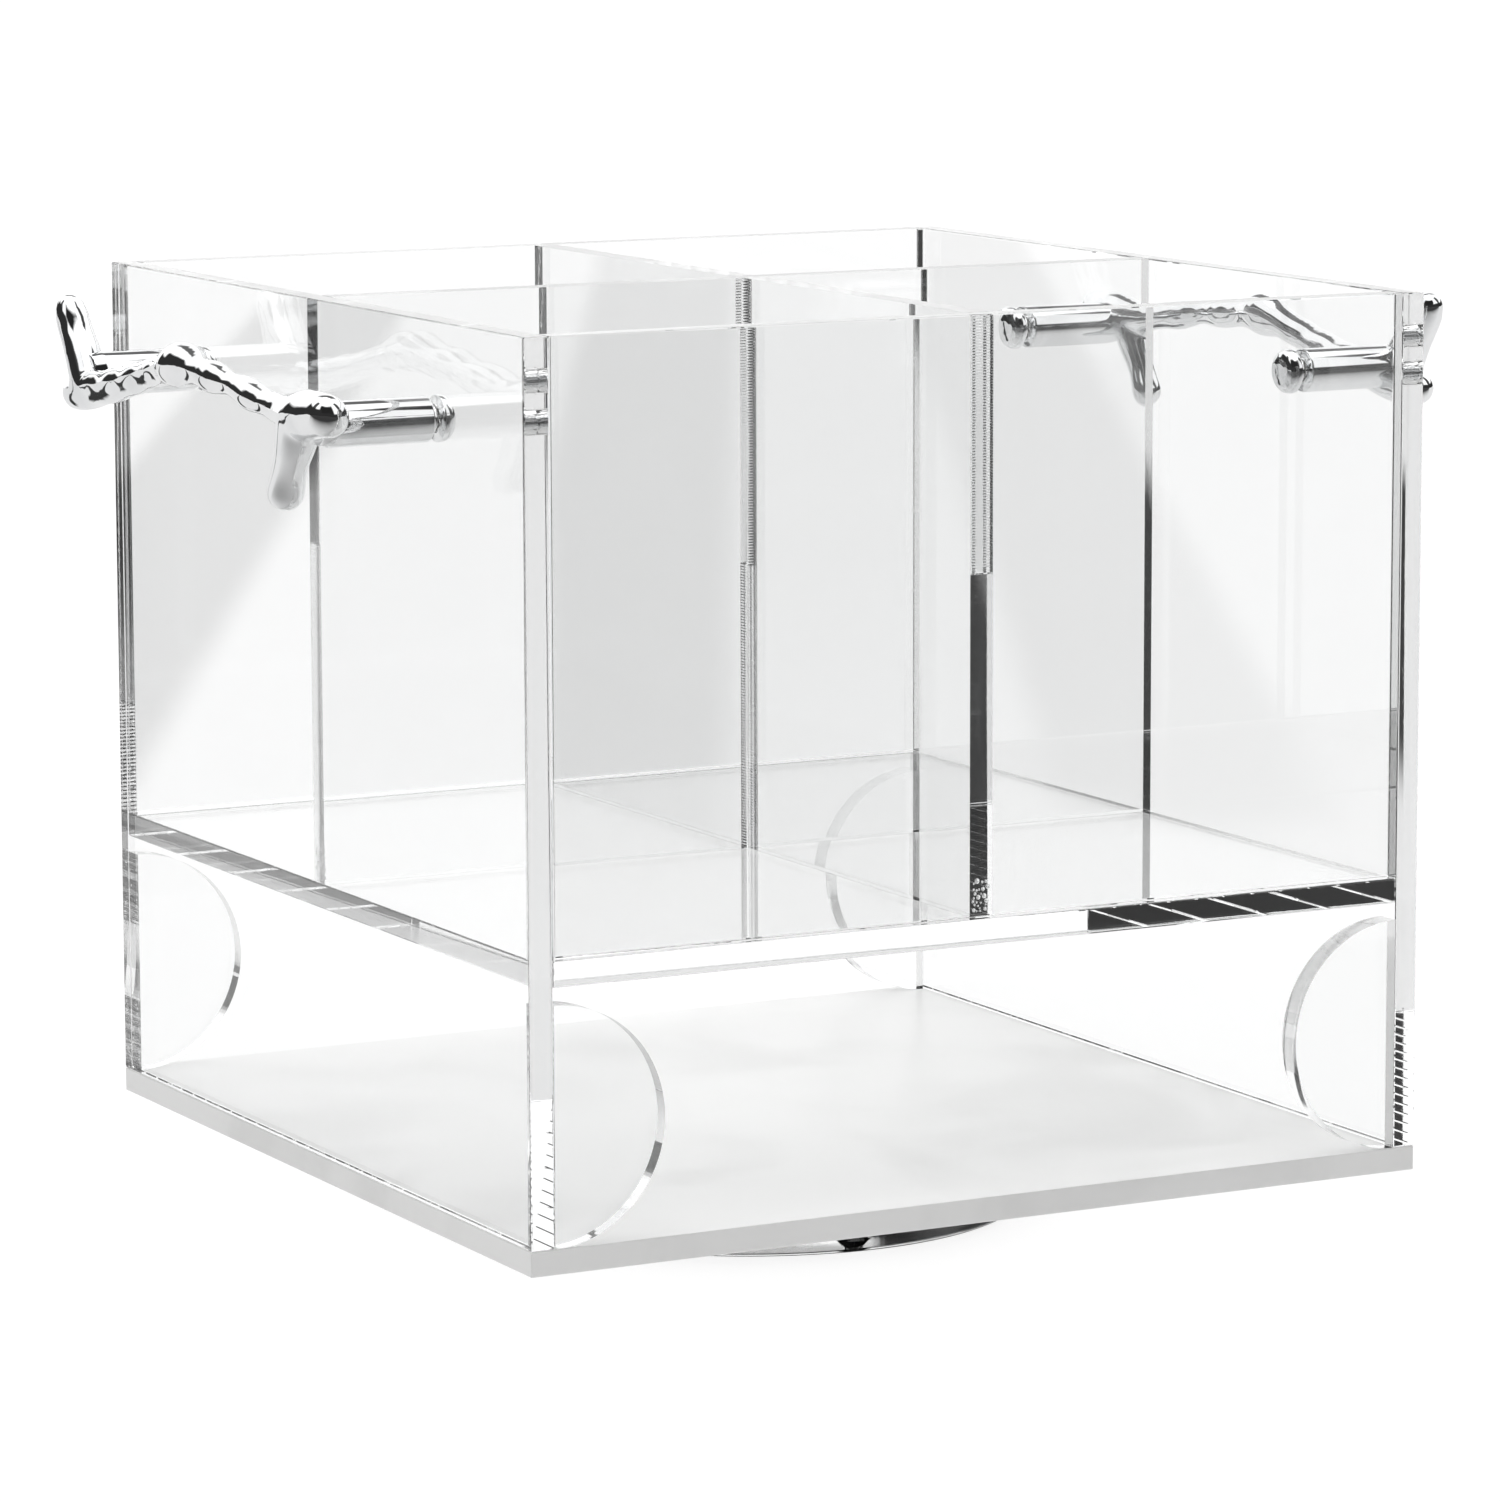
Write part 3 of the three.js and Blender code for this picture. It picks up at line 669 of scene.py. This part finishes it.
def branch_handle(node, side):
    """One casting: three limbs run together, with a tapped post to each screw."""
    bm = bmesh.new()
    for seed, limb in enumerate((BRANCH, RISING_TWIG, HANGING_TWIG)):
        add_limb(bm, limb, seed)
    branch = loose_object(f"{node}_casting", bm)
    settle(branch, ("REMESH", {"mode": "VOXEL", "voxel_size": CASTING_VOXEL}), ("SMOOTH", SMOOTHING))
    outward = [v.normal.copy() for v in branch.data.vertices]
    for v, normal in zip(branch.data.vertices, outward):
        v.co += normal * (SKIN_OUT + noise.noise(v.co * LUMPS_PER_MM) * LUMP_HEIGHT)
    for u in (-SCREW_Y / MM, SCREW_Y / MM):
        bm = bmesh.new()
        add_post(bm, u)
        absorb(branch, loose_object("post", bm), "UNION")
    bm = used_up(branch)
    bmesh.ops.transform(bm, matrix=handle_place(side), verts=bm.verts)
    finished(f"{node}_casting", bm, CHROME, node, "caddy", sharp=radians(40))


def add_post(bm, u):
    """A straight round post with a tapped hole, from the panel into the branch. Millimetres."""
    r, reach, gap = POST_RADIUS / MM, POST_REACH / MM, SEAT_GAP / MM
    tapped, depth = TAPPED_RADIUS / MM, TAPPED_DEPTH / MM
    chamfer, shoulder = 0.4, 2.2
    outline = [(0, depth), (tapped, depth), (tapped, gap + chamfer), (tapped + chamfer, gap),
               (r, gap), (r, reach - shoulder), (r * 0.9, reach), (0, reach)]
    turns = [tau * i / POST_SIDES for i in range(POST_SIDES)]
    rings = [[(u + x * cos(a), y, x * sin(a)) for a in turns]
             for x, y in rounded_open_profile(outline, 0.3)]
    add_rings(bm, rings)


THREAD_PITCH = 0.7 * MM
THREAD_DEPTH = 0.38 * MM
THREAD_SIDES = 56
RINGS_PER_TURN = 10
RUN_IN = 0.5 * MM  # over which the thread grows to its full depth under the head
TIP_LENGTH = 1.2 * MM
TIP_TAPER = 0.5 * MM
SCREW_LENGTH = 12 * MM
SCREW_RADIUS = 1.98 * MM
HEAD_RADIUS = (screw_high.z - screw_low.z) / 2
HEAD_HEIGHT = 2.7 * MM
# A pan head's curve from its top: shares of the head's radius and of its height.
HEAD_CURVE = [(0, 1), (0.35, 0.99), (0.62, 0.93), (0.83, 0.78), (0.95, 0.55), (1, 0.28), (1, 0)]
# The cross recess from above the head down: depth from the head's top, half length, half width.
CROSS_RECESS = [(-0.2, 2.35, 0.5), (1.0, 1.7, 0.42), (1.75, 0.9, 0.3)]


def add_thread(bm):
    """A rolled thread along Z with a short taper at its tip."""
    rings = []
    steps = round(SCREW_LENGTH / THREAD_PITCH * RINGS_PER_TURN)
    for k in range(steps + 1):
        z = SCREW_LENGTH * k / steps
        taper = min(1.0, (SCREW_LENGTH - z) / TIP_LENGTH)
        start = min(1.0, z / RUN_IN)
        ring = []
        for i in range(THREAD_SIDES):
            a = tau * i / THREAD_SIDES
            # across a turn the depth is a triangle wave, cut off flat at the crest and the root
            phase = (z / THREAD_PITCH - i / THREAD_SIDES) % 1.0
            tooth = min(1.0, max(0.0, 1.35 * (1 - abs(2 * phase - 1)) - 0.1))
            r = SCREW_RADIUS - THREAD_DEPTH * (1 - tooth * start) - (1 - taper) * TIP_TAPER
            ring.append((r * cos(a), r * sin(a), z))
        rings.append(ring)
    add_rings(bm, rings)


def cross_cutter():
    """A tapered cross point, the shape of the recess in a screw head."""
    bm = bmesh.new()
    for turn in (0, pi / 2):
        rings = []
        for depth, long, wide in CROSS_RECESS:
            z = depth * MM - HEAD_HEIGHT
            ring = [(long, -wide), (long, wide), (-long, wide), (-long, -wide)]
            rings.append([(MM * (x * cos(turn) - y * sin(turn)), MM * (x * sin(turn) + y * cos(turn)), z)
                          for x, y in ring])
        add_rings(bm, rings)
    return loose_object("cross_cutter", bm)


def handle_screw(node, side):
    """A chromed pan head screw with a cross recess and a full thread."""
    core, step = 1.5 * MM, 0.4 * MM  # a stub under the head, inside the thread
    outline = [(HEAD_RADIUS * across, -HEAD_HEIGHT * up) for across, up in HEAD_CURVE]
    outline += [(core, 0), (core, step), (0, step)]
    bm = bmesh.new()
    add_turned_solid(bm, rounded_open_profile(outline, 0.18 * MM), segments=72)
    head = loose_object(f"{node}_blank", bm)
    absorb(head, cross_cutter(), "DIFFERENCE")
    bm = used_up(head)
    add_thread(bm)
    low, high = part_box(node)
    seat = side * (HALF - SHEET - SEAT_GAP)
    turn = Matrix.Rotation(side * pi / 2, 4, "Y")
    place = Matrix.Translation((seat, (low.y + high.y) / 2, SCREW_Z)) @ turn
    bmesh.ops.transform(bm, matrix=place, verts=bm.verts)
    finished(f"{node}_threaded", bm, CHROME, node, "caddy", sharp=radians(32))


# ---------------------------------------------------------------- turntable


PRESSED = 0.9 * MM  # thickness of the race plates' and the rivet's metal
HUB_BORE = 4.35 * MM  # radius of the hole that the rivet goes through
HUB_RADIUS = 12 * MM
HUB_RISE = 1.8 * MM  # of the raised hub above the plate's flat
DISH_RADIUS = 16 * MM  # where the slope down from the hub ends
TRACK_RADIUS = 30 * MM
TRACK_REACH = 2.2 * MM  # of each rim from the middle of the track
RIM_HEIGHT = 1.1 * MM
RIM_TOP = 0.3 * MM  # half the rim's width at its top
RIM_ROOT = 0.4 * MM
BALLS = 12
RIVET_BORE = 2.8 * MM
RIVET_BARREL = 4 * MM
TAPE_BORE = 17 * MM


def race_plate_outline(node, flipped):
    """Half-section of a pressed race plate, its ball track between two raised rims."""
    low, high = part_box(node)
    outer = high.x
    points = [(HUB_BORE, HUB_RISE), (HUB_RADIUS, HUB_RISE), (DISH_RADIUS, 0), (outer, 0), (outer, PRESSED)]
    top = PRESSED + RIM_HEIGHT
    for rim in (TRACK_RADIUS + TRACK_REACH, TRACK_RADIUS - TRACK_REACH):
        points += [(rim + RIM_ROOT, PRESSED), (rim + RIM_TOP, top),
                   (rim - RIM_TOP, top), (rim - RIM_ROOT, PRESSED)]
    points += [(DISH_RADIUS + 0.4 * MM, PRESSED), (HUB_RADIUS + 0.4 * MM, HUB_RISE + PRESSED),
               (HUB_BORE, HUB_RISE + PRESSED)]
    if flipped:
        return [(r, high.z - z) for r, z in reversed(points)]
    return [(r, low.z + z) for r, z in points]


def race_plate(node, body, flipped):
    """One of the bearing's two pressed plates; the upper one is the lower one turned over."""
    bm = bmesh.new()
    add_turned_ring(bm, rounded_profile(race_plate_outline(node, flipped), 0.28 * MM))
    finished(f"{node}_pressing", bm, ZINC, node, body, sharp=radians(35))


def bearing_balls():
    for i in range(1, BALLS + 1):
        node = f"bearing_ball_{i:02d}"
        low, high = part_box(node)
        bm = bmesh.new()
        bmesh.ops.create_uvsphere(bm, u_segments=32, v_segments=20, radius=(high.z - low.z) / 2)
        bmesh.ops.translate(bm, verts=bm.verts, vec=(low + high) / 2)
        finished(f"{node}_ground", bm, BALL_STEEL, node, "cage")


def from_solid(node, suffix, material, body, ease):
    """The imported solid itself, its flat faces made whole and its corners eased."""
    bm = bmesh.new()
    bm.from_mesh(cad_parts[node].data)
    bmesh.ops.remove_doubles(bm, verts=bm.verts, dist=0.001 * MM)
    bmesh.ops.dissolve_limit(bm, angle_limit=radians(1), verts=bm.verts, edges=bm.edges)
    corners = [e for e in bm.edges if len(e.link_faces) == 2 and e.calc_face_angle() > radians(35)]
    bmesh.ops.bevel(bm, geom=corners, offset=ease, segments=2, profile=0.5, affect="EDGES",
                    clamp_overlap=True)
    finished(f"{node}_{suffix}", bm, material, node, body, sharp=radians(30))


def turned_ring_piece(node, suffix, outline, material, body, ease):
    bm = bmesh.new()
    add_turned_ring(bm, rounded_profile(outline, ease))
    finished(f"{node}_{suffix}", bm, material, node, body, sharp=radians(35))


def ring_outline(bore, low, high):
    """The square section of a plain ring that fills a node's box out to its rim."""
    return [(bore, low.z), (high.x, low.z), (high.x, high.z), (bore, high.z)]


def foot_disc():
    """The clear disc, with four countersunk holes from below."""
    low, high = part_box("turntable_disc")
    bm = bmesh.new()
    outline = [(0, low.z), (high.x, low.z), (high.x, high.z), (0, high.z)]
    add_turned_solid(bm, rounded_open_profile(outline, 0.7 * MM, steps=5), segments=240)
    disc = loose_object("disc_blank", bm)
    mouth, hole, past = 3.9 * MM, 1.6 * MM, 1 * MM
    cone_end = low.z + 1.3 * MM
    sink = [(0, low.z - past), (mouth, low.z - past), (hole, cone_end), (hole, high.z + past),
            (0, high.z + past)]
    for i in range(1, 5):
        screw_start, screw_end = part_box(f"plate_screw_{i}")
        bm = bmesh.new()
        add_turned_solid(bm, sink, segments=40)
        middle = (screw_start + screw_end) / 2
        bmesh.ops.translate(bm, verts=bm.verts, vec=(middle.x, middle.y, 0))
        absorb(disc, loose_object("countersink", bm), "DIFFERENCE")
    finished("turntable_disc_polished", used_up(disc), CLEAR_DISC, "turntable_disc", "turntable",
             flat_over=FLAT_AREA)


def foot_pad(node):
    """A soft stick-on foot, wider at the disc than where it stands."""
    low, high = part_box(node)
    radius = (high.x - low.x) / 2
    top = high.z - 0.03 * MM
    outline = [(0, 0), (radius - 0.7 * MM, 0), (radius, 0.6 * MM), (radius, top), (0, top)]
    bm = bmesh.new()
    add_turned_solid(bm, rounded_open_profile(outline, 0.4 * MM), segments=56)
    bmesh.ops.translate(bm, verts=bm.verts, vec=((low.x + high.x) / 2, (low.y + high.y) / 2, 0))
    finished(f"{node}_soft", bm, SOFT_PAD, node, "turntable")


def adhesive_ring():
    outline = ring_outline(TAPE_BORE, *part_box("adhesive_ring"))
    turned_ring_piece("adhesive_ring", "tape", outline, FOAM, "caddy", 0.1 * MM)


def hub_washer():
    outline = ring_outline(HUB_BORE, *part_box("hub_washer"))
    turned_ring_piece("hub_washer", "moulded", outline, NYLON, "turntable", 0.1 * MM)


def bearing_rivet():
    """A tubular rivet, its two flared ends holding the plates together."""
    low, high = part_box("bearing_rivet")
    flange = high.x
    under, over = low.z + PRESSED, high.z - PRESSED
    outline = [(RIVET_BORE, low.z), (flange, low.z), (flange, under), (RIVET_BARREL, under),
               (RIVET_BARREL, over), (flange, over), (flange, high.z), (RIVET_BORE, high.z)]
    turned_ring_piece("bearing_rivet", "flared", outline, ZINC, "turntable", 0.3 * MM)


# ---------------------------------------------------------------- stage, light and camera


FLOOR_SIZE = 30
FLOOR_GLOW = 0.85
TOWARDS_STAND = (-0.467, -0.884, 0)
PAINTED_FALL_OFF = (-0.05, 0.42)  # where the painted shade on the floor starts towards the stand, and where it is fully dark
BEHIND_LEFT = (-0.467, 0.884, 0)
ACROSS_PAINTED_RAIL = (0.884, 0.467, 0)
PAINTED_RAIL_START = (0.3, 0.36)  # how far behind the painted dark rail fades in
PAINTED_RAIL_MIDDLE = 0.04
PAINTED_RAIL_SIDES = (0.028, 0.042)  # its half width at full darkness, and where it is gone


def distance_along(n, place, direction):
    """How far a place lies along a direction from the middle of the frame."""
    dot = n.add("ShaderNodeVectorMath", {"operation": "DOT_PRODUCT"})
    n.put(dot.inputs[0], place)
    dot.inputs[1].default_value = direction
    return dot.outputs["Value"]


def seen_by_reflection(n):
    """1 for rays that have been reflected, which get the darker room instead of the plain white one:
    darker sky, and painted shade on the floor.
    """
    return n.math("MINIMUM", n.add("ShaderNodeLightPath").outputs["Glossy Depth"], 1.0)


def floor_paint():
    """White and lit from below.

    In reflections its colour carries painted shade: it falls off into the dark towards the camera stand,
    and shows a painted dark rail behind.
    """
    material, n, shader, _ = new_material("floor paint")
    place = n.add("ShaderNodeTexCoord").outputs["Object"]
    grain = n.add("ShaderNodeTexNoise", Vector=place, Scale=3.0)
    pale = n.mix(grain.outputs["Fac"], (0.19, 0.19, 0.19, 1), (0.21, 0.21, 0.21, 1))
    unlit = n.spread(distance_along(n, place, TOWARDS_STAND), *PAINTED_FALL_OFF)
    behind = n.spread(distance_along(n, place, BEHIND_LEFT), *PAINTED_RAIL_START)
    across = distance_along(n, place, ACROSS_PAINTED_RAIL)
    aside = n.math("ABSOLUTE", n.math("SUBTRACT", across, PAINTED_RAIL_MIDDLE))
    painted_rail = n.math("MULTIPLY", behind, n.spread(aside, *PAINTED_RAIL_SIDES, 1.0, 0.0))
    # painted shade, only in reflections: the floor goes dark towards the camera stand and along the
    # painted rail behind
    reflected_floor_with_painted_shade = n.mix(n.math("MAXIMUM", unlit, painted_rail), (0.9, 0.9, 0.9, 1), (0.04, 0.04, 0.04, 1))
    mirrored = seen_by_reflection(n)
    set_inputs(n, shader, Base_Color=n.mix(mirrored, pale, reflected_floor_with_painted_shade), Roughness=0.9,
               Specular_IOR_Level=0.1, Emission_Color=(1, 1, 1, 1),
               Emission_Strength=n.math("MULTIPLY", n.math("SUBTRACT", 1.0, mirrored), FLOOR_GLOW))
    return material


def stage():
    bm = bmesh.new()
    bmesh.ops.create_grid(bm, x_segments=1, y_segments=1, size=FLOOR_SIZE)
    mesh = bpy.data.meshes.new("floor")
    bm.to_mesh(mesh)
    bm.free()
    mesh.materials.append(floor_paint())
    floor = bpy.data.objects.new("floor", mesh)
    bpy.context.scene.collection.objects.link(floor)


# Soft zones of the studio: heading and height of the middle, half width, half height and softness
# (all in degrees), and brightness. Heading 0 is towards -Y and 90 towards +X.
ZONES = [
    (-28, 20, 40, 30, 10, 0.02),  # the dark room behind the camera
    (62, 30, 9, 40, 5, 0.06),  # gaps between the light panels
    (-112, 34, 8, 34, 5, 0.08),
    (150, 50, 24, 10, 6, 0.15),
    (0, 90, 180, 26, 8, 1.9),  # overhead diffuser
]
MIRROR_ZONES = [
    (-28, 4, 140, 9, 5, 0.03),  # the unlit walls low down, which only the chrome and the polish show
    (-105, 13, 42, 15, 6, 0.03),
]
SKY_LEVEL = 1.2


def add_zone(n, heading, height, level, zone, only_where=None):
    """The level with one soft zone of another brightness laid over it."""
    at, up, wide, tall, soft, brightness = zone
    away = n.math("ABSOLUTE", n.math("WRAP", n.math("SUBTRACT", heading, radians(at)), pi, -pi))
    rise = n.math("ABSOLUTE", n.math("SUBTRACT", height, radians(up)))
    sideways = n.spread(away, radians(wide), radians(wide + soft), 1.0, 0.0)
    upright = n.spread(rise, radians(tall), radians(tall + soft), 1.0, 0.0)
    mask = n.math("MULTIPLY", sideways, upright)
    if only_where:
        mask = n.math("MULTIPLY", mask, only_where)
    kept = n.math("MULTIPLY", level, n.math("SUBTRACT", 1.0, mask))
    return n.math("ADD", kept, n.math("MULTIPLY", mask, brightness))


def studio_sky():
    """A bright even surround with a few dark gaps, as inside a light tent in a dark room."""
    world = bpy.data.worlds.new("studio")
    bpy.context.scene.world = world
    world.use_nodes = True
    n = Nodes(world.node_tree)
    background = world.node_tree.nodes["Background"]
    background.inputs["Color"].default_value = (1, 1, 1, 1)
    way = n.add("ShaderNodeSeparateXYZ", Vector=n.add("ShaderNodeTexCoord").outputs["Generated"])
    x, y, z = way.outputs
    heading = n.math("ARCTAN2", x, n.math("MULTIPLY", y, -1.0))
    height = n.math("ARCSINE", z)
    mirrored = seen_by_reflection(n)
    level = SKY_LEVEL
    for zone in ZONES:
        level = add_zone(n, heading, height, level, zone)
    for zone in MIRROR_ZONES:
        level = add_zone(n, heading, height, level, zone, mirrored)
    n.put(background.inputs["Strength"], level)


CAMERA_AT = Vector((-0.5678, -1.0750, 0.27506))
CAMERA_YAW = radians(27.847)
CAMERA_PITCH = radians(8.849)
CAMERA_ROLL = radians(-0.168)
CAMERA_LENS = 159.21
NEAREST = 0.05
FARTHEST = 100


def camera():
    data = bpy.data.cameras.new("camera")
    data.lens = CAMERA_LENS
    data.clip_start = NEAREST
    data.clip_end = FARTHEST
    view = bpy.data.objects.new("camera", data)
    bpy.context.scene.collection.objects.link(view)
    level = cos(CAMERA_PITCH)
    ahead = Vector((sin(CAMERA_YAW) * level, cos(CAMERA_YAW) * level, -sin(CAMERA_PITCH)))
    flat_right = Vector((cos(CAMERA_YAW), -sin(CAMERA_YAW), 0))
    flat_up = flat_right.cross(ahead)
    right = cos(CAMERA_ROLL) * flat_right + sin(CAMERA_ROLL) * flat_up
    up = cos(CAMERA_ROLL) * flat_up - sin(CAMERA_ROLL) * flat_right
    turn = Matrix((right, up, -ahead)).transposed().to_4x4()
    view.matrix_world = Matrix.Translation(CAMERA_AT) @ turn
    bpy.context.scene.camera = view


# ---------------------------------------------------------------- making

camera()
base_plate()
for node in ("side_panel_left", "side_panel_right"):
    side_panel(node)
for node in ("front_panel", "back_panel"):
    end_panel(node)
shelf()
divider("divider_front_back", X_AXIS, slot_from_top=True)
divider("divider_left_right", Y_AXIS, slot_from_top=False)
for end in ("front", "back"):
    for hand in ("left", "right"):
        napkin_stop(f"napkin_stop_{end}_{hand}")
for hand, side in (("left", -1), ("right", 1)):
    branch_handle(f"branch_handle_{hand}", side)
    for end in ("front", "back"):
        handle_screw(f"handle_screw_{hand}_{end}", side)
race_plate("bearing_lower_plate", "turntable", flipped=False)
race_plate("bearing_upper_plate", "caddy", flipped=True)
bearing_balls()
foot_disc()
for number in range(1, 5):
    from_solid(f"plate_screw_{number}", "plated", ZINC, "turntable", 0.05 * MM)
    foot_pad(f"foot_pad_{number}")
adhesive_ring()
hub_washer()
bearing_rivet()
from_solid("ball_cage", "moulded", NYLON, "cage", 0.12 * MM)
stage()
studio_sky()

SHEET_BOUNCES = 64  # light travels a long way along the inside of a sheet before it leaves at an edge
scene = bpy.context.scene
scene.view_settings.view_transform = "Standard"
scene.cycles.max_bounces = SHEET_BOUNCES
scene.cycles.transmission_bounces = SHEET_BOUNCES
scene.cycles.glossy_bounces = SHEET_BOUNCES
scene.cycles.transparent_max_bounces = 32
